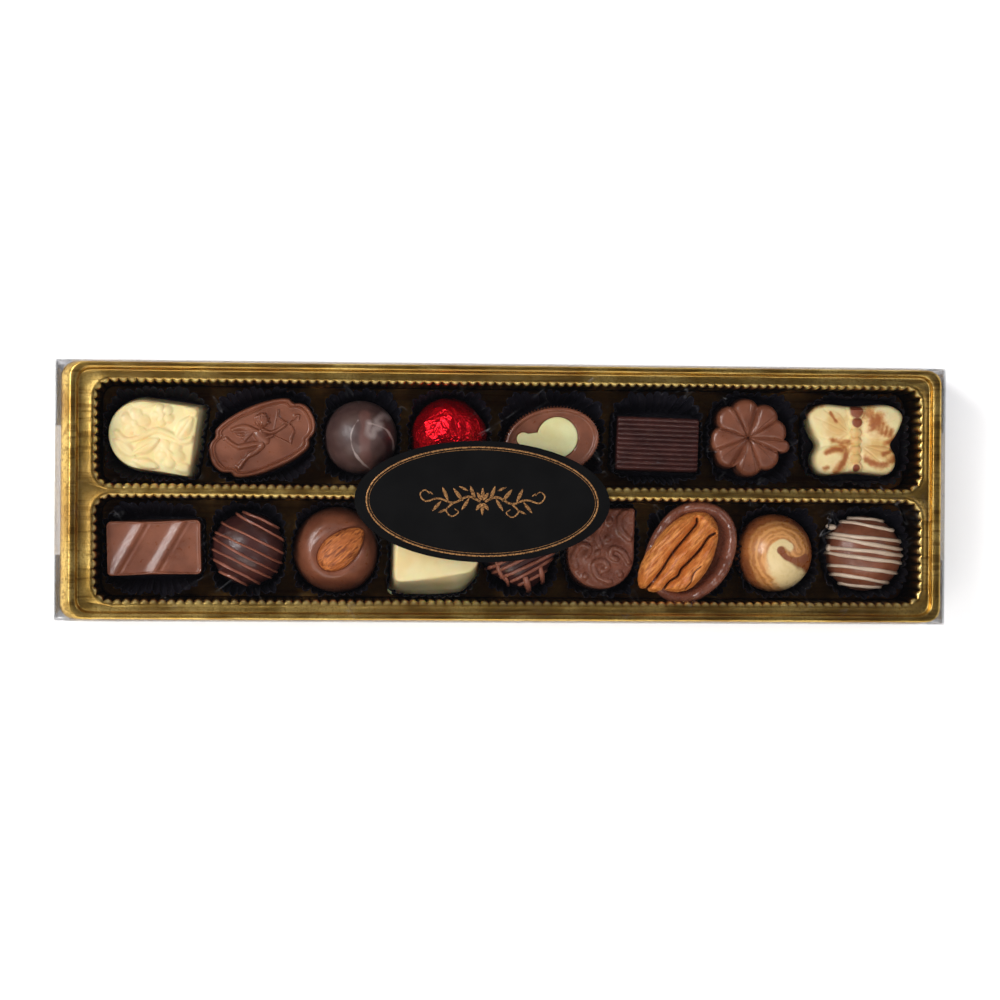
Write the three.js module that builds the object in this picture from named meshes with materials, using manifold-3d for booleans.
// A flat box of seventeen chocolate pralines: a clear plastic folding carton, a gold vacuum-formed
// tray with two long channels, a fluted dark paper cup under each praline, and an oval black label
// on the lid. The frame stands on the floor: X runs along the box, Y across it and Z up.
import * as THREE from 'three';
import { mergeVertices } from 'three/addons/utils/BufferGeometryUtils.js';
import Module from 'manifold-3d';

const wasm = await Module();
wasm.setup();

// Driving dimensions, in millimetres

// Carton of clear film, with tucked ends
const BOX_LENGTH = 306;
const BOX_WIDTH = 88.8;
const BOX_HEIGHT = 28;
const FILM = 0.3;
const SLIT = 0.15;
const TONGUE_LENGTH = 12;
const DUST_FLAP_LENGTH = 22;
const FLAP_CORNER_CUT = 3;

// Tray: a raised rim, a sunk deck and two channels
const TRAY_HALF_LENGTH = 152.1;
const TRAY_HALF_WIDTH = 43.9;
const TRAY_BOTTOM = 2 * FILM + SLIT;
const RIM_LEFT = -148.4;
const RIM_RIGHT = 151.9;
const RIM_HALF_WIDTH = 43.75;
const RIM_TOP = 27;
const DECK_TOP = 25;
const DECK_LEFT = -145.4;
const DECK_RIGHT = 148.4;
const DECK_HALF_WIDTH = 41.2;
const PLASTIC = 0.4;
const CHANNEL_LEFT = -140;
const CHANNEL_RIGHT = 145.3;
const CHANNEL_MIDDLE = 19.7;
const CHANNEL_HALF_WIDTH = 18.2;
const CHANNEL_CORNER = 6;
const CHANNEL_DRAFT = 1;
const CHANNEL_FLOOR = 2.5;
const FLUTE_PITCH = 3.1;
const FLUTE_DEPTH = 0.5;

// Paper cups
const PAPER = 0.3;
const CUP_HEIGHT = 13;
const CUP_FLUTES = 13;
const CUP_HALF_WIDTH = 17.1;
const CUP_GAP = 0.25;
const PRALINE_FLOOR = CHANNEL_FLOOR + PAPER;

// Label
const LABEL_LENGTH = 87.8;
const LABEL_WIDTH = 41.6;
const LABEL_CARD = 0.15;
const LABEL_PLACE = [-7.8, -2.9];
const LABEL_TURN = -0.75;

const TAU = 2 * Math.PI;
const degrees = (angle) => (angle * Math.PI) / 180;

// Solids and booleans

function solid(geometry) {
  const bare = geometry.clone();
  bare.deleteAttribute('normal');
  bare.deleteAttribute('uv');
  const merged = mergeVertices(bare, 1e-4);
  const corners = merged.index.array;
  const triangles = [];
  for (let i = 0; i < corners.length; i += 3) {
    const [a, b, c] = [corners[i], corners[i + 1], corners[i + 2]];
    if (a !== b && b !== c && c !== a) triangles.push(a, b, c);
  }
  return new wasm.Manifold(new wasm.Mesh({
    numProp: 3,
    vertProperties: merged.getAttribute('position').array,
    triVerts: new Uint32Array(triangles),
  }));
}

function geometryOf(body) {
  const { vertProperties, triVerts } = body.getMesh();
  const indexed = new THREE.BufferGeometry();
  indexed.setAttribute('position', new THREE.BufferAttribute(vertProperties, 3));
  indexed.setIndex(new THREE.BufferAttribute(triVerts, 1));
  const faceted = indexed.toNonIndexed();
  faceted.computeVertexNormals();
  return faceted;
}

function block([x0, x1], [y0, y1], [z0, z1]) {
  const box = new THREE.BoxGeometry(x1 - x0, y1 - y0, z1 - z0);
  box.translate((x0 + x1) / 2, (y0 + y1) / 2, (z0 + z1) / 2);
  return solid(box);
}

const joined = (bodies) => bodies.reduce((whole, body) => whole.add(body));

// Outlines: each is a ring of points round the origin, counter-clockwise seen from above

function superellipse(halfLength, halfWidth, squareness) {
  return (angle) => {
    const along = Math.abs(Math.cos(angle) / halfLength) ** squareness;
    const across = Math.abs(Math.sin(angle) / halfWidth) ** squareness;
    return (along + across) ** (-1 / squareness);
  };
}

// Reach from the origin to the far side of a circle that lies out along a direction
function lobeRadius(angle, direction, radius, distance) {
  const away = angle - direction;
  const side = distance * Math.sin(away);
  if (Math.cos(away) < 0 || Math.abs(side) > radius) return 0;
  return distance * Math.cos(away) + Math.sqrt(radius * radius - side * side);
}

function spaced(points, count) {
  return new THREE.Path([...points, points[0]]).getSpacedPoints(count).slice(0, count);
}

function traced(radius, count) {
  const steps = 360;
  const points = [];
  for (let i = 0; i < steps; i++) {
    const angle = (TAU * i) / steps;
    points.push(new THREE.Vector2(Math.cos(angle), Math.sin(angle)).multiplyScalar(radius(angle)));
  }
  return spaced(points, count);
}

function roundedRectangle(halfLength, halfWidth, radius, cornerSteps) {
  const points = [];
  for (let corner = 0; corner < 4; corner++) {
    const x = (halfLength - radius) * (corner === 0 || corner === 3 ? 1 : -1);
    const y = (halfWidth - radius) * (corner < 2 ? 1 : -1);
    for (let step = 0; step <= cornerSteps; step++) {
      const angle = (TAU / 4) * (corner + step / cornerSteps);
      points.push(new THREE.Vector2(x + radius * Math.cos(angle), y + radius * Math.sin(angle)));
    }
  }
  return points;
}

// A body turned up from rings, from the underside's middle to the top's middle. A ring lies at a
// fraction of the outline drawn in by its inset, and only a ring with lift takes the relief.
function turned(outline, rings, relief = () => 0) {
  const count = outline.length;
  const geometry = new THREE.LatheGeometry(rings.map(({ at, z }) => new THREE.Vector2(at, z)), count);
  const position = geometry.getAttribute('position');
  for (let turn = 0; turn <= count; turn++) {
    rings.forEach(({ at, inset = 0, z, lift = 0, outline: own = outline }, ring) => {
      const edge = own[turn % count];
      const reach = at * (1 - inset / edge.length());
      const [x, y] = [edge.x * reach, edge.y * reach];
      position.setXYZ(turn * rings.length + ring, x, y, z + lift * relief(x, y));
    });
  }
  return solid(geometry);
}

function squashedSphere([x, y, z], [halfLength, halfWidth, halfHeight], turn = 0, [around, along] = [8, 4]) {
  const sphere = new THREE.SphereGeometry(1, around, along);
  sphere.rotateX(Math.PI / 2);
  sphere.scale(halfLength, halfWidth, halfHeight);
  sphere.rotateZ(degrees(turn));
  sphere.translate(x, y, z);
  return solid(sphere);
}

// Carton: a sleeve of film whose end panels fold down from the lid and tuck in over the floor

function cartonEnd(side) {
  const outer = BOX_LENGTH / 2;
  const inner = BOX_WIDTH / 2 - FILM;
  const across = (from, to) => (side > 0 ? [from, to] : [-to, -from]);
  const panel = block(across(outer - FILM, outer), [SLIT - inner, inner - SLIT], [FILM + SLIT, BOX_HEIGHT]);
  const tongueHalf = inner - FLAP_CORNER_CUT;
  const tongue = block(
    across(outer - TONGUE_LENGTH, outer), [-tongueHalf, tongueHalf], [FILM + SLIT, 2 * FILM + SLIT]);
  const flapFace = outer - FILM - SLIT;
  const flaps = [-1, 1].map((edge) => {
    const reach = [inner - DUST_FLAP_LENGTH, inner + FILM / 2];
    const height = [2 * FILM + 2 * SLIT, BOX_HEIGHT - FLAP_CORNER_CUT / 3];
    return block(across(flapFace - FILM, flapFace), edge > 0 ? reach : [-reach[1], -reach[0]], height);
  });
  return joined([panel, tongue, ...flaps]);
}

function carton() {
  const [x, y] = [BOX_LENGTH / 2, BOX_WIDTH / 2];
  const outside = block([-x, x], [-y, y], [0, BOX_HEIGHT]);
  const inside = block([-x - 1, x + 1], [FILM - y, y - FILM], [FILM, BOX_HEIGHT - FILM]);
  return joined([outside.subtract(inside), cartonEnd(-1), cartonEnd(1)]);
}

// Tray: one thin sheet, hollow underneath, with a fluted channel for each row of pralines

function trayOutline(left, right, halfWidth, radius) {
  return roundedRectangle((right - left) / 2, halfWidth, radius, 4)
    .map((point) => point.add(new THREE.Vector2((left + right) / 2, 0)));
}

// The skirt stands nearly upright, and at its left end a sloping shoulder leads up to the rim
function traySheet(drop) {
  const skirtOutline = trayOutline(drop - TRAY_HALF_LENGTH, TRAY_HALF_LENGTH - drop, TRAY_HALF_WIDTH - drop, 5);
  const shoulderOutline = trayOutline(drop - 151.3, RIM_RIGHT + 0.1 - drop, RIM_HALF_WIDTH + 0.1 - drop, 5);
  const rimOutline = (grow) =>
    trayOutline(RIM_LEFT - grow, RIM_RIGHT + grow, RIM_HALF_WIDTH + grow, 5);
  const deckOutline = (grow) =>
    trayOutline(DECK_LEFT - grow, DECK_RIGHT + grow, DECK_HALF_WIDTH + grow, 4);
  const bottom = drop > 0 ? TRAY_BOTTOM - 1 : TRAY_BOTTOM;
  return turned(skirtOutline, [
    { at: 0, z: bottom },
    { at: 1, z: bottom },
    { at: 1, z: 23.5 - drop, outline: shoulderOutline },
    { at: 1, z: RIM_TOP - drop, outline: rimOutline(-drop) },
    { at: 1, z: RIM_TOP - drop, outline: deckOutline(0.3 + drop) },
    { at: 1, z: DECK_TOP - drop, outline: deckOutline(drop) },
    { at: 0, z: DECK_TOP - drop },
  ]);
}

function channelRim(flutes) {
  const halfLength = (CHANNEL_RIGHT - CHANNEL_LEFT) / 2;
  const plain = roundedRectangle(halfLength, CHANNEL_HALF_WIDTH, CHANNEL_CORNER, 8);
  return spaced(plain, 2 * flutes).map((point, i) => {
    const inward = (i % 2) * FLUTE_DEPTH;
    return point.multiplyScalar(1 - inward / point.length());
  });
}

// The flutes fade out downwards: each point of the rim falls to the nearest point of a plain foot
function channelFoot(rim, drawnIn) {
  const halfLength = (CHANNEL_RIGHT - CHANNEL_LEFT) / 2 - drawnIn;
  const plain = roundedRectangle(halfLength, CHANNEL_HALF_WIDTH - drawnIn, CHANNEL_CORNER - 1, 3);
  return rim.map((point) => plain.reduce((best, candidate) =>
    (candidate.distanceTo(point) < best.distanceTo(point) ? candidate : best)));
}

function channel(side) {
  const length = CHANNEL_RIGHT - CHANNEL_LEFT + 2 * CHANNEL_HALF_WIDTH * 2;
  const rim = channelRim(Math.round(length / FLUTE_PITCH));
  const foot = channelFoot(rim, CHANNEL_DRAFT);
  const above = DECK_TOP + 1;
  const hollow = turned(rim, [
    { at: 0, z: CHANNEL_FLOOR },
    { at: 1, z: CHANNEL_FLOOR, outline: foot },
    { at: 1, z: above },
    { at: 0, z: above },
  ]);
  const halfLength = (CHANNEL_RIGHT - CHANNEL_LEFT) / 2 + PLASTIC;
  const halfWidth = CHANNEL_HALF_WIDTH + PLASTIC;
  const tubOutline = (grow) => roundedRectangle(halfLength + grow, halfWidth + grow, CHANNEL_CORNER, 4);
  const tub = turned(tubOutline(0), [
    { at: 0, z: CHANNEL_FLOOR - PLASTIC },
    { at: 1, z: CHANNEL_FLOOR - PLASTIC, outline: tubOutline(-CHANNEL_DRAFT) },
    { at: 1, z: DECK_TOP - PLASTIC / 2 },
    { at: 0, z: DECK_TOP - PLASTIC / 2 },
  ]);
  const place = [(CHANNEL_LEFT + CHANNEL_RIGHT) / 2, side * CHANNEL_MIDDLE, 0];
  return { hollow: hollow.translate(place), tub: tub.translate(place) };
}

function tray() {
  const rows = [channel(1), channel(-1)];
  const under = rows.reduce((rest, row) => rest.subtract(row.tub), traySheet(PLASTIC));
  return rows.reduce((rest, row) => rest.subtract(row.hollow), traySheet(0).subtract(under));
}

// Label: a thin oval card

function label() {
  const edge = new THREE.Shape().absellipse(0, 0, LABEL_LENGTH / 2, LABEL_WIDTH / 2, 0, TAU);
  const card = { depth: LABEL_CARD, bevelEnabled: false, curveSegments: 25 };
  return solid(new THREE.ExtrudeGeometry(edge, card));
}

// Cups: the foot follows the praline, and the fluted rim opens out to the channel and its neighbours

function cup({ place: [x, y], turn = 0, outline, clear = 0.6 }, row, left, right) {
  const middle = row * CHANNEL_MIDDLE;
  const squared = superellipse(1, 1, 4);
  const edge = ({ at, lean = 0 }, height) => at + lean * (height - middle);
  const centre = new THREE.Vector2();
  const foot = outline(clear, 2 * CUP_FLUTES).map((point) => point.rotateAround(centre, degrees(turn)));
  const rim = foot.map((point, i) => {
    const angle = point.angle();
    const [across, up] = [Math.cos(angle) * squared(angle), Math.sin(angle) * squared(angle)];
    const rimY = middle + up * CUP_HALF_WIDTH;
    const [from, to] = [edge(left, rimY) + CUP_GAP, edge(right, rimY) - CUP_GAP];
    const spot = new THREE.Vector2(from + ((to - from) * (across + 1)) / 2 - x, rimY - y);
    const room = Math.max(spot.length() - point.length(), 0);
    const crease = (i % 2) * Math.min(0.45 * room, 1.3);
    return spot.setLength(point.length() + room - crease);
  });
  const body = (inset, bottom, top) => turned(foot, [
    { at: 0, z: bottom },
    { at: 1, inset, z: bottom },
    { at: 1, inset, z: top, outline: rim },
    { at: 0, z: top },
  ]);
  return body(0, 0, CUP_HEIGHT).subtract(body(PAPER, PAPER, CUP_HEIGHT));
}

// Pralines. Each stands on its own origin.

function ballRings(radius, height, count) {
  const middle = height - radius;
  const lowest = Math.asin(-middle / radius);
  const rings = [{ at: 0, z: 0 }];
  for (let i = 0; i <= count; i++) {
    const latitude = lowest + ((Math.PI / 2 - lowest) * i) / count;
    const lift = i > 0 && i < count ? 1 : 0;
    rings.push({ at: Math.max(Math.cos(latitude), 0), z: middle + radius * Math.sin(latitude), lift });
  }
  return rings;
}

// Sides with draft, a rounded upper edge and a flat or crowned top
function mouldRings(height, { draft = 1, edge = 1, crown = 0, rings = 2 } = {}) {
  const top = [];
  for (let i = 1; i <= rings; i++) {
    const at = 1 - i / rings;
    top.push({ at, inset: draft + edge, z: height + crown * (1 - at * at), lift: 1 });
  }
  return [
    { at: 0, z: 0 },
    { at: 1, z: 0 },
    { at: 1, inset: draft, z: height - edge },
    { at: 1, inset: draft + 0.3 * edge, z: height - 0.3 * edge },
    { at: 1, inset: draft + edge, z: height },
    ...top,
  ];
}

const circle = (radius, count) => traced(() => radius, count);

function ball({ half: [radius], height }) {
  return turned(circle(radius, 20), ballRings(radius, height, 6));
}

// Foil gathers in small creases all round the ball
function foilBall({ half: [radius], height }) {
  const crease = (x, y) => 0.3 * (Math.sin(2.1 * x + 1.7 * y) + Math.sin(2.9 * y - 1.3 * x));
  return turned(circle(radius - 0.3, 22), ballRings(radius - 0.3, height - 0.6, 7), crease);
}

function archOutline(halfLength, halfWidth, count) {
  const corner = 1.2;
  const straight = halfLength - halfWidth;
  const points = [];
  for (let i = 0; i <= 24; i++) {
    const angle = Math.PI / 2 + (Math.PI * i) / 24;
    points.push(new THREE.Vector2(halfWidth * Math.cos(angle) - straight, halfWidth * Math.sin(angle)));
  }
  const corners = [
    [halfLength - corner, -halfWidth],
    [halfLength, corner - halfWidth],
    [halfLength, halfWidth - corner],
    [halfLength - corner, halfWidth],
  ];
  points.push(...corners.map(([x, y]) => new THREE.Vector2(x, y)));
  return spaced(points, count);
}

// Leaf sprig in low relief: a stem with pairs of rounded leaves
function sprig(halfLength, top, pairs) {
  const stem = squashedSphere([0, 0, top], [halfLength, 0.9, 0.8]);
  const leaves = [];
  for (let i = 0; i < pairs; i++) {
    const x = halfLength * (1.1 * (i / (pairs - 1)) - 0.62);
    [-1, 1].forEach((side) => {
      leaves.push(squashedSphere([x, side * 4.6, top], [4.1, 1.9, 0.9], side * 52));
    });
  }
  return joined([stem, ...leaves]);
}

function arch({ half: [halfLength, halfWidth], height }) {
  const outline = archOutline(halfLength, halfWidth, 30);
  const top = height - 0.9;
  const plate = turned(outline, mouldRings(top, { draft: 0.9, edge: 0.7, rings: 1 }));
  return plate.add(sprig(0.68 * halfLength, top, 3));
}

// Cartouche: an oval whose ends step in to a narrower lobe, with a raised rim
function cartoucheRadius(halfLength, halfWidth) {
  const body = superellipse(1.3 * halfLength, halfWidth, 2);
  const lobe = superellipse(halfLength, 0.6 * halfWidth, 2.7);
  return (angle) => {
    const clipped = Math.min(body(angle), (0.78 * halfLength) / Math.abs(Math.cos(angle)));
    return Math.max(clipped, lobe(angle));
  };
}

function medallion({ half: [halfLength, halfWidth], height }) {
  const outline = traced(cartoucheRadius(halfLength, halfWidth), 36);
  const face = height - 1.4;
  const plate = turned(outline, [
    { at: 0, z: 0 },
    { at: 1, z: 0 },
    { at: 1, inset: 0.8, z: height - 0.5 },
    { at: 1, inset: 1.2, z: height },
    { at: 1, inset: 2, z: height },
    { at: 1, inset: 2.5, z: face },
    { at: 0, z: face },
  ]);
  return joined([plate, ...wingedArcher(face)]);
}

// Small winged archer in low relief, turned to the right
function wingedArcher(face) {
  const limb = (x, y, halfLength, halfWidth, turn) =>
    squashedSphere([x, y, face], [halfLength, halfWidth, 1.1], turn);
  return [
    squashedSphere([0.6, 5.6, face], [2.6, 2.8, 1.8], 0, [10, 6]),
    limb(-0.6, -0.2, 2.6, 3.9, 12),
    limb(-6, 3.6, 4.2, 1.6, -18),
    limb(-6.4, -2.6, 3.4, 1.3, 32),
    limb(-3.2, -6.2, 3.6, 1.4, 38),
    limb(4.4, 0.6, 3.4, 0.9, 28),
    limb(10.4, 0.4, 0.6, 5.2, -20),
  ];
}

// Heart with one large and one small lobe
const HEART_SUNK = 0.6;
const HEART_BIG = { x: 2.2, y: 1.2, radius: 7.1 };
const HEART_SMALL = { x: -9.6, y: 3, radius: 2.3 };
const HEART_POINT = [-3.8, -8.6];

function heartPlate(grow, depth) {
  const big = HEART_BIG.radius + grow;
  const small = HEART_SMALL.radius + grow;
  const shape = new THREE.Shape();
  shape.moveTo(HEART_POINT[0] - grow / 2, HEART_POINT[1] - grow);
  shape.absarc(HEART_BIG.x, HEART_BIG.y, big, degrees(-70), degrees(155));
  shape.absarc(HEART_SMALL.x, HEART_SMALL.y, small, degrees(40), degrees(225));
  return solid(new THREE.ExtrudeGeometry(shape, { depth, bevelEnabled: false, curveSegments: 8 }));
}

function heartInlay() {
  return heartPlate(0, HEART_SUNK + 0.2);
}

// Ribbed oval with a raised rim, sunk for the heart
function heartOval({ half: [halfLength, halfWidth], height }) {
  const outline = traced(superellipse(halfLength, halfWidth, 2), 34);
  const face = height - 0.8;
  const oval = turned(outline, [
    { at: 0, z: 0 },
    { at: 1, inset: 1.4, z: 0 },
    { at: 1, z: height - 2 },
    { at: 1, inset: 0.8, z: height - 0.3 },
    { at: 1, inset: 1.4, z: height },
    { at: 1, inset: 2, z: height },
    { at: 1, inset: 2.4, z: face },
    { at: 0, z: face },
  ]);
  return oval.subtract(heartPlate(0.3, 2).translate([0, 0, face - HEART_SUNK]));
}

// Bar with ridges along its top, drawn as a section and run along X
const RIDGE_COUNT = 11;
const RIDGE_DEPTH = 0.8;

function alongX(shape, length) {
  const run = new THREE.ExtrudeGeometry(shape, { depth: length, bevelEnabled: false });
  run.rotateX(Math.PI / 2);
  run.rotateZ(Math.PI / 2);
  run.translate(-length / 2, 0, 0);
  return solid(run);
}

function ridgedBar({ half: [halfLength, halfWidth], height }) {
  const topHalf = halfWidth - 0.4;
  const pitch = (2 * topHalf) / RIDGE_COUNT;
  const shape = new THREE.Shape();
  shape.moveTo(-halfWidth, 0);
  shape.lineTo(halfWidth, 0);
  for (let i = 0; i < RIDGE_COUNT; i++) {
    const y = topHalf - i * pitch;
    shape.lineTo(y, height - RIDGE_DEPTH);
    shape.lineTo(y - 0.3 * pitch, height);
    shape.lineTo(y - 0.7 * pitch, height);
  }
  shape.lineTo(-topHalf, height - RIDGE_DEPTH);
  return alongX(shape, 2 * halfLength);
}

// Bar with two slanting waves
const WAVE_PITCH = 11.5;
const WAVE_TURN = -31;
const WAVE_HEIGHT = 1.3;

function waveBar({ half: [halfLength, halfWidth], height }) {
  const face = height - WAVE_HEIGHT;
  const outline = roundedRectangle(halfLength, halfWidth, 1.5, 3);
  const bar = turned(outline, [
    { at: 0, z: 0 },
    { at: 1, z: 0 },
    { at: 1, inset: 0.9, z: height + 1 },
    { at: 0, z: height + 1 },
  ]);
  const shape = new THREE.Shape();
  const reach = 2 * halfLength;
  shape.moveTo(-reach, -1);
  shape.lineTo(reach, -1);
  shape.lineTo(reach, face);
  [1, 0].forEach((wave) => {
    const y = (wave - 0.62) * WAVE_PITCH;
    shape.lineTo(y + 3.6, face);
    shape.lineTo(y + 1.4, face + 0.45 * WAVE_HEIGHT);
    shape.lineTo(y + 0.6, height);
    shape.lineTo(y - 0.5, height);
    shape.lineTo(y - 1.9, face);
  });
  shape.lineTo(-reach, face);
  return bar.intersect(alongX(shape, 3 * halfLength).rotate([0, 0, WAVE_TURN + 90]));
}

// Eight petals and a stem round the middle, each a lobe of the outline, with creases between them
const PETALS = [12.6, 50.6, 96, 136, 186, 220.7, 272.3, 313];
const PETAL_RADIUS = 5;
const STEM_ANGLE = 346.6;
const STEM_RADIUS = 2.4;

function petalRadius(angle, halfLength) {
  const centre = halfLength - PETAL_RADIUS;
  const petals = PETALS.map((petal) => lobeRadius(angle, degrees(petal), PETAL_RADIUS, centre));
  return Math.max(...petals, lobeRadius(angle, degrees(STEM_ANGLE), STEM_RADIUS, halfLength - 1));
}

function clover({ half: [halfLength], height }) {
  const lobes = [...PETALS, STEM_ANGLE].sort((a, b) => a - b);
  const outline = [];
  lobes.forEach((lobe, i) => {
    const before = i ? lobes[i - 1] : lobes[lobes.length - 1] - 360;
    const after = i < lobes.length - 1 ? lobes[i + 1] : lobes[0] + 360;
    const [from, to] = [(before + lobe) / 2, (lobe + after) / 2];
    for (let step = 0; step < 5; step++) {
      const angle = degrees(from + ((to - from) * step) / 5);
      const reach = petalRadius(angle, halfLength);
      outline.push(new THREE.Vector2(reach * Math.cos(angle), reach * Math.sin(angle)));
    }
  });
  const crease = (x, y) => {
    const angle = Math.atan2(y, x);
    const nearest = Math.max(...lobes.map((lobe) => Math.cos(angle - degrees(lobe))));
    return -1.9 * Math.min((1 - nearest) * 18, 1) * Math.min(Math.hypot(x, y) / 6, 1);
  };
  return turned(outline, [
    { at: 0, z: 0 },
    { at: 1, z: 0 },
    { at: 1, inset: 0.5, z: height - 3.2 },
    { at: 0.92, inset: 0.5, z: height - 0.9, lift: 0.5 },
    { at: 0.55, z: height, lift: 1 },
    { at: 0, z: height - 1.2 },
  ], crease);
}

// Half of the butterfly's outline, from beside the head round both wings to beside the tail
const WING = [
  [2.6, 12], [10.8, 12.6], [15.3, 11.2], [17.5, 8], [15.4, 2], [13.2, -2],
  [15, -6.3], [14.4, -10.4], [11, -12.9], [2.6, -12.2],
];

function butterfly({ height }) {
  const right = WING.map(([x, y]) => new THREE.Vector3(x, y, 0));
  const left = [...right].reverse().map(({ x, y }) => new THREE.Vector3(-x, y, 0));
  const loop = new THREE.CatmullRomCurve3([...right, ...left].reverse(), true, 'centripetal');
  const outline = loop.getSpacedPoints(36).slice(0, 36).map(({ x, y }) => new THREE.Vector2(x, y));
  const wingTop = height - 2.2;
  const valley = (x, y) => -1.2 * Math.exp(-(((y + 1.6) / 1.8) ** 2)) - 0.9 * Math.exp(-((x / 2.6) ** 2));
  const wings = turned(outline, [
    { at: 0, z: 0 },
    { at: 1, z: 0 },
    { at: 1, inset: 0.7, z: wingTop - 0.8, lift: 1 },
    { at: 1, inset: 1.3, z: wingTop, lift: 1 },
    { at: 0.55, inset: 1.3, z: wingTop - 0.4, lift: 1 },
    { at: 0, z: wingTop, lift: 1 },
  ], valley);
  const beads = [[10, 2.9, 3], [6, 2.1, 2.3], [0.8, 1.9, 3.6], [-4.4, 1.8, 2.4], [-9.2, 1.8, 2.9]];
  const body = beads.map(([y, halfWidth, halfLength]) =>
    squashedSphere([0, y, wingTop - 0.8], [halfWidth, halfLength, 1 + halfWidth * 0.7]));
  return joined([wings, ...body]);
}

// Drizzled body: turned about a level axis, so that each line of drizzle is a raised hoop. A squarer
// one is a log. Crossing lines are cut from a slightly larger body by upright slices.
const DRIZZLE_PROUD = 0.5;
const DRIZZLE_FACETS = 12;

function levelBody(profile, flatness, middle) {
  const hoops = new THREE.LatheGeometry(profile, DRIZZLE_FACETS);
  hoops.scale(1, 1, flatness);
  hoops.translate(0, 0, middle);
  return solid(hoops);
}

function drizzled({ half, height, drizzle, drizzleWidth, squareness = 2, crossing }) {
  const [halfLength, halfWidth] = half;
  const radiusAt = (s) => {
    const along = Math.min(Math.abs(s / halfWidth), 1);
    return halfLength * (1 - along ** squareness) ** (1 / squareness);
  };
  const point = (radius, s) => new THREE.Vector2(radius, s);
  const ridge = (middle) => [
    point(radiusAt(middle - drizzleWidth / 2), middle - drizzleWidth / 2),
    point(radiusAt(middle) + DRIZZLE_PROUD, middle),
    point(radiusAt(middle + drizzleWidth / 2), middle + drizzleWidth / 2),
  ];
  const flatness = height / (1.5 * halfLength);
  const middle = height - (halfLength + DRIZZLE_PROUD) * flatness;
  const profile = [point(0, -halfWidth), ...[...drizzle].reverse().flatMap(ridge), point(0, halfWidth)];
  const floor = block([-40, 40], [-40, 40], [-40, 0]);
  const body = levelBody(profile, flatness, middle);
  if (!crossing) return body.subtract(floor);
  const cover = [-1, -0.9, -0.6, 0, 0.6, 0.9, 1].map((step) => {
    const proud = Math.abs(step) < 1 ? DRIZZLE_PROUD : 0;
    return point(radiusAt(step * halfWidth) + proud, step * (halfWidth + DRIZZLE_PROUD));
  });
  const larger = levelBody(cover, flatness, middle);
  const lines = crossing.offsets.map((offset) =>
    block([-30, 30], [offset - drizzleWidth / 2, offset + drizzleWidth / 2], [0, 30])
      .rotate([0, 0, crossing.turn]).intersect(larger));
  return joined([body, ...lines]).subtract(floor);
}

// Round mound with an almond pressed into it
const ALMOND = { place: [1.9, 0.4, 13.6], half: [10.4, 5.8, 3.6], turn: 44 };

function almondBody(grow) {
  const [halfLength, halfWidth, halfHeight] = ALMOND.half.map((half) => half + grow);
  const nut = new THREE.SphereGeometry(1, 14, 8);
  nut.rotateZ(-Math.PI / 2);
  const position = nut.getAttribute('position');
  for (let i = 0; i < position.count; i++) {
    const x = position.getX(i);
    const taper = 1 - 0.24 * x;
    const [y, z] = [position.getY(i) * taper, position.getZ(i) * taper];
    position.setXYZ(i, x * halfLength, y * halfWidth, z * halfHeight);
  }
  return solid(nut).rotate([0, 0, ALMOND.turn]);
}

function almondRound({ half: [radius], height }) {
  const wavy = (angle) => radius * (1 - 0.012 * (1 + Math.sin(3 * angle + 1)));
  const mound = turned(traced(wavy, 26), [
    { at: 0, z: 0 },
    { at: 0.98, z: 0 },
    { at: 1, z: 2.2 },
    { at: 0.97, z: 5.5 },
    { at: 0.86, z: 9.6 },
    { at: 0.66, z: 12.6 },
    { at: 0.4, z: height },
    { at: 0, z: height },
  ]);
  return mound.subtract(almondBody(0.3).translate(ALMOND.place));
}

function almond() {
  return almondBody(0);
}

// Soft square dipped by hand: its coating has run out into a small foot at one corner
const FOOT = { place: [-12.2, -10.4], radius: 4, height: 4.6 };

function softSquareRadius(halfLength, halfWidth, grow) {
  const square = superellipse(halfLength + grow, halfWidth + grow, 3);
  const foot = new THREE.Vector2(...FOOT.place);
  const footRadius = (angle) => lobeRadius(angle, foot.angle(), FOOT.radius + grow, foot.length());
  return (angle) => Math.max(square(angle), footRadius(angle));
}

function softSquare({ half: [halfLength, halfWidth], height }) {
  const drawnIn = (length, width) => traced(superellipse(halfLength - length, halfWidth - width, 3), 28);
  const square = turned(drawnIn(0, 0), [
    { at: 0, z: 0 },
    { at: 1, z: 0 },
    { at: 1, z: 2 },
    { at: 1, z: 8, outline: drawnIn(0.8, 1.4) },
    { at: 1, z: height - 1.6, outline: drawnIn(2, 4) },
    { at: 1, z: height - 0.3, outline: drawnIn(3.6, 6) },
    { at: 0, z: height },
  ]);
  const foot = turned(circle(FOOT.radius, 12), [
    { at: 0, z: 0 },
    { at: 1, z: 0 },
    { at: 1, z: 1.2 },
    { at: 0.7, z: 0.8 * FOOT.height },
    { at: 0, z: FOOT.height },
  ]);
  return square.add(foot.translate([...FOOT.place, 0]));
}

// Oval shell with a thick uneven rim, hollowed for the pecan half
const PECAN = { place: [-3.8, 2.5, 18.2], half: [17.6, 10.4, 5], turn: -10 };
const PECAN_GROOVES = [{ at: -0.22, depth: 0.36 }, { at: 0.4, depth: 0.3 }];
const GROOVE_WIDTH = 0.13;

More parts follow.
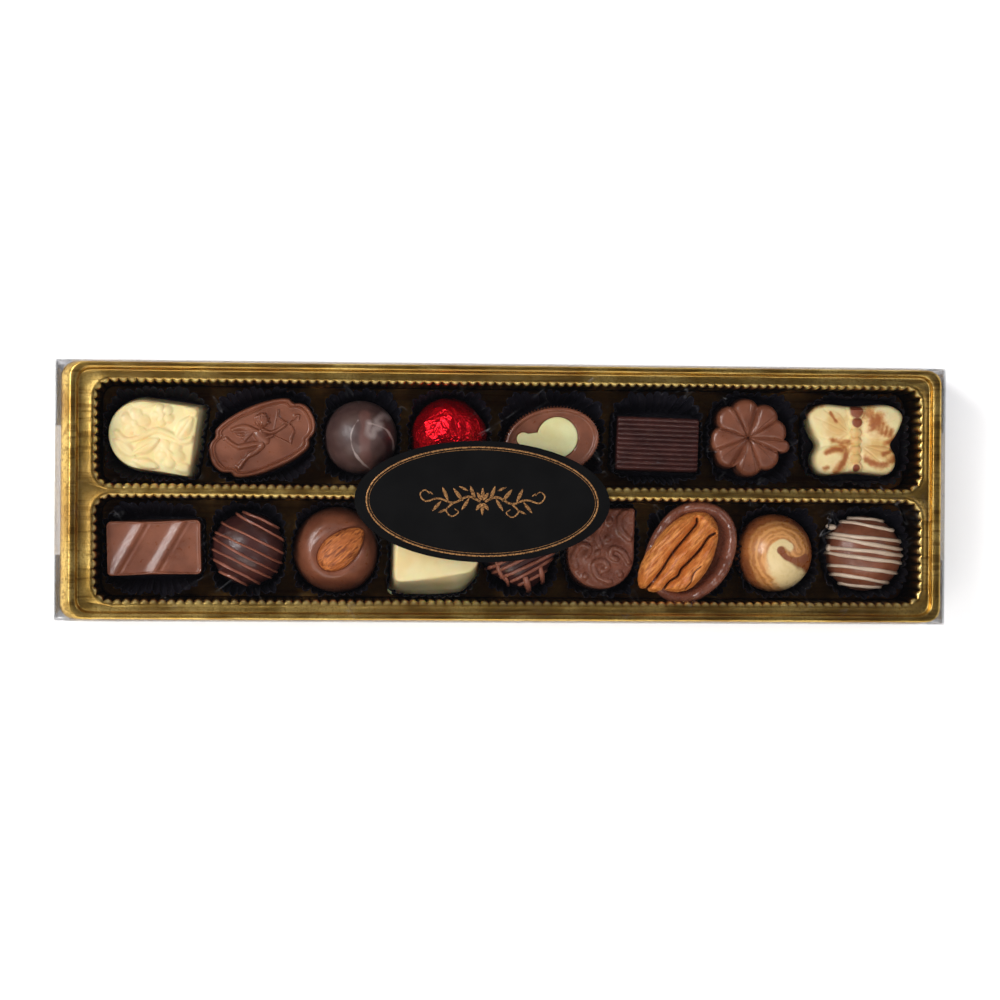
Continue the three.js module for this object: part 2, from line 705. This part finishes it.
function pecanBody(grow) {
  const [halfLength, halfWidth, halfHeight] = PECAN.half.map((half) => half + grow);
  const nut = new THREE.SphereGeometry(1, 24, 8);
  nut.rotateZ(-Math.PI / 2);
  const position = nut.getAttribute('position');
  for (let i = 0; i < position.count; i++) {
    const [x, y, z] = [position.getX(i), position.getY(i), position.getZ(i)];
    const spread = Math.sqrt(Math.max(1 - x * x, 1e-9));
    const blunt = Math.min((1 - x ** 4) ** 0.25 / spread, 1.4);
    const grooves = PECAN_GROOVES.map(({ at, depth }) =>
      depth * Math.exp(-(((y / spread - at) / GROOVE_WIDTH) ** 2)));
    const top = grow > 0 ? 1 : 1 - grooves[0] - grooves[1];
    const high = z > 0 ? top : 0.6;
    position.setXYZ(i, x * halfLength, y * blunt * halfWidth, z * high * halfHeight);
  }
  return solid(nut).rotate([0, 0, PECAN.turn]);
}

const shellRadius = (grow) => (angle) => {
  const oval = superellipse(18.2 + grow, 14.4 + grow, 2.1)(angle);
  return oval * (1 - 0.012 * (1 + Math.sin(5 * angle)));
};

function pecanShell({ outline, height }) {
  const shell = turned(outline(0, 30), [
    { at: 0, z: 0 },
    { at: 0.76, z: 0 },
    { at: 0.86, z: 6 },
    { at: 0.95, z: 13 },
    { at: 1, z: height - 1.8 },
    { at: 1, inset: 0.7, z: height - 0.3 },
    { at: 1, inset: 2.2, z: height },
    { at: 1, inset: 3.6, z: height - 1.6 },
    { at: 0.5, z: height - 6.5 },
    { at: 0, z: height - 7 },
  ]);
  return shell.subtract(pecanBody(0.3).translate(PECAN.place));
}

function pecan() {
  return pecanBody(0);
}

// Colours of the finishes
const FINISHES = {
  film: { color: 0xf4f6f8, roughness: 0.05, metalness: 0, transparent: true, opacity: 0.2 },
  gold: { color: 0xb08a3a, roughness: 0.28, metalness: 0.9 },
  paper: { color: 0x14131c, roughness: 0.7, metalness: 0 },
  card: { color: 0x111013, roughness: 0.6, metalness: 0 },
  white: { color: 0xe9d6a4, roughness: 0.45, metalness: 0 },
  milk: { color: 0x7a4a38, roughness: 0.4, metalness: 0 },
  dark: { color: 0x452521, roughness: 0.35, metalness: 0 },
  swirl: { color: 0xb07a4a, roughness: 0.35, metalness: 0 },
  foil: { color: 0xb80f1c, roughness: 0.25, metalness: 0.8 },
  almond: { color: 0xa86b3a, roughness: 0.7, metalness: 0 },
  pecan: { color: 0xb4682f, roughness: 0.6, metalness: 0 },
};

const oval = (halfLength, halfWidth, squareness = 2) => (grow, count) =>
  traced(superellipse(halfLength + grow, halfWidth + grow, squareness), count);
const rectangle = (halfLength, halfWidth) => (grow, count) =>
  spaced(roundedRectangle(halfLength + grow, halfWidth + grow, grow + 0.2, 2), count);

// Pralines of each row from left to right: the body, its place over the floor, its turn in degrees,
// its half length and half width, its height, its finish, and the side of the cell to its right
const BACK_ROW = [
  {
    name: 'white_arch', make: arch, place: [-120, 19.2], turn: -8, half: [16.6, 13], height: 13.4,
    outline: (grow, count) => archOutline(16.6 + grow, 13 + grow, count), clear: 0.7, finish: 'white',
    right: { at: -102.6, lean: 0.14 },
  },
  {
    name: 'medallion', make: medallion, place: [-83.2, 18.6], turn: 24, half: [19.6, 12], height: 11.6,
    outline: (grow, count) => traced(cartoucheRadius(19.6 + grow, 12 + grow), count), clear: 1,
    finish: 'milk', right: { at: -63.7 },
  },
  {
    name: 'marbled_dome', make: ball, place: [-49.2, 19.1], half: [12.8, 12.8], height: 19,
    outline: oval(12.8, 12.8), finish: 'dark', right: { at: -34 },
  },
  {
    name: 'red_foil_ball', make: foilBall, place: [-18.4, 19.6], half: [13.5, 13.5], height: 20.4,
    outline: oval(13.5, 13.5), finish: 'foil', right: { at: -2.7 },
  },
  {
    name: 'heart_oval', make: heartOval, place: [17, 18], turn: 12, half: [17.3, 12.6], height: 15,
    outline: oval(17.3, 12.6), finish: 'milk', right: { at: 36.9 },
    topping: { name: 'heart_inlay', make: heartInlay, place: [0, 0, 13.6], finish: 'white' },
  },
  {
    name: 'ridged_bar', make: ridgedBar, place: [54.1, 17.6], turn: -1.6, half: [14.3, 9.6], height: 14,
    outline: rectangle(14.3, 9.6), clear: 1.6, finish: 'dark', right: { at: 70.9 },
  },
  {
    name: 'clover', make: clover, place: [86.6, 20.2], half: [14.2, 14.2], height: 13,
    outline: (grow, count) => traced((angle) => Math.max(14 + grow, petalRadius(angle, 14.2 + grow)), count),
    clear: 1, finish: 'milk', right: { at: 104.4 },
  },
  {
    name: 'butterfly', make: butterfly, place: [124.6, 20], half: [17.6, 13.2], height: 13,
    outline: oval(18, 14, 4), clear: 0.5, finish: 'white', right: { at: 144 },
  },
];

const FRONT_ROW = [
  {
    name: 'wave_bar', make: waveBar, place: [-120, -19.6], turn: 1.5, half: [16.7, 9.7], height: 14.5,
    outline: rectangle(16.7, 9.7), clear: 1, finish: 'milk', right: { at: -102 },
  },
  {
    name: 'drizzled_dark_ball', make: drizzled, place: [-88, -19.8], turn: -27, half: [12.6, 12.6],
    height: 19.5, drizzle: [10.9, 8.6, 4.2, 0.6, -2.4, -5.4, -8.6, -11.2], drizzleWidth: 1.3,
    outline: oval(13.1, 13.1), finish: 'dark', right: { at: -73.9 },
  },
  {
    name: 'almond_round', make: almondRound, place: [-57.4, -20.1], half: [15.2, 15.2], height: 14.2,
    outline: oval(15.2, 15.2), clear: 0.45, finish: 'milk', right: { at: -41, lean: 0.1 },
    topping: { name: 'almond', make: almond, place: ALMOND.place, finish: 'almond' },
  },
  {
    name: 'white_square', make: softSquare, place: [-22.9, -21.6], half: [15.2, 14.2], height: 14.4,
    outline: (grow, count) => traced(softSquareRadius(15.2, 14.2, grow), count), clear: 0.9,
    finish: 'white', right: { at: -6.8 },
  },
  {
    name: 'lattice_log', make: drizzled, place: [7, -20.6], turn: -28, half: [11, 11.4], height: 16,
    drizzle: [7.4, 3, -1.4, -5.8, -9.2], drizzleWidth: 1.4, squareness: 3.2,
    crossing: { turn: 108, offsets: [-3.4, 4] },
    outline: oval(11.8, 11.8, 3.4), clear: 0.3, finish: 'dark', right: { at: 20.6 },
  },
  {
    name: 'milk_arch', make: arch, place: [34.6, -19], turn: 90, half: [15, 12.5], height: 13.4,
    outline: (grow, count) => archOutline(15 + grow, 12.5 + grow, count), clear: 0.8,
    finish: 'milk', right: { at: 49 },
  },
  {
    name: 'pecan_shell', make: pecanShell, place: [66.3, -19.8], turn: 58, half: [18.2, 14.4], height: 18,
    outline: (grow, count) => traced(shellRadius(grow), count), clear: -1, finish: 'milk',
    right: { at: 82.2 }, topping: { name: 'pecan', make: pecan, place: PECAN.place, finish: 'pecan' },
  },
  {
    name: 'swirl_dome', make: ball, place: [96.5, -20.1], half: [13.5, 13.5], height: 19.5,
    outline: oval(13.5, 13.5), finish: 'swirl', right: { at: 112.2 },
  },
  {
    name: 'drizzled_milk_dome', make: drizzled, place: [128.4, -20.2], turn: -7, half: [13.9, 13.2],
    height: 17, drizzle: [12, 9.8, 5.6, 3.6, 0.8, -1.6, -5.4, -8.8, -11.4], drizzleWidth: 1.5,
    outline: oval(14.4, 13.4), clear: 0.5, finish: 'milk', right: { at: 144 },
  },
];

// Assembly

function named(name, body, finish) {
  const mesh = new THREE.Mesh(geometryOf(body), new THREE.MeshStandardMaterial(FINISHES[finish]));
  mesh.name = name;
  return mesh;
}

function filledRow(pralines, row) {
  const group = new THREE.Group();
  let left = { at: CHANNEL_LEFT + 1.4 };
  pralines.forEach((praline) => {
    const [x, y] = praline.place;
    const paperCup = named(`cup_${praline.name}`, cup(praline, row, left, praline.right), 'paper');
    paperCup.position.set(x, y, CHANNEL_FLOOR);
    const stand = new THREE.Group();
    stand.position.set(x, y, PRALINE_FLOOR);
    stand.rotation.z = degrees(praline.turn ?? 0);
    stand.add(named(`praline_${praline.name}`, praline.make(praline), praline.finish));
    if (praline.topping) {
      const { name, make, place, finish } = praline.topping;
      const topping = named(name, make(), finish);
      topping.position.set(...place);
      stand.add(topping);
    }
    group.add(paperCup, stand);
    left = praline.right;
  });
  return group;
}

const group = new THREE.Group();
const ovalLabel = named('label', label(), 'card');
ovalLabel.position.set(...LABEL_PLACE, BOX_HEIGHT);
ovalLabel.rotation.z = degrees(LABEL_TURN);
group.add(named('clear_carton', carton(), 'film'), named('tray', tray(), 'gold'), ovalLabel);
group.add(filledRow(BACK_ROW, 1), filledRow(FRONT_ROW, -1));

export default group;
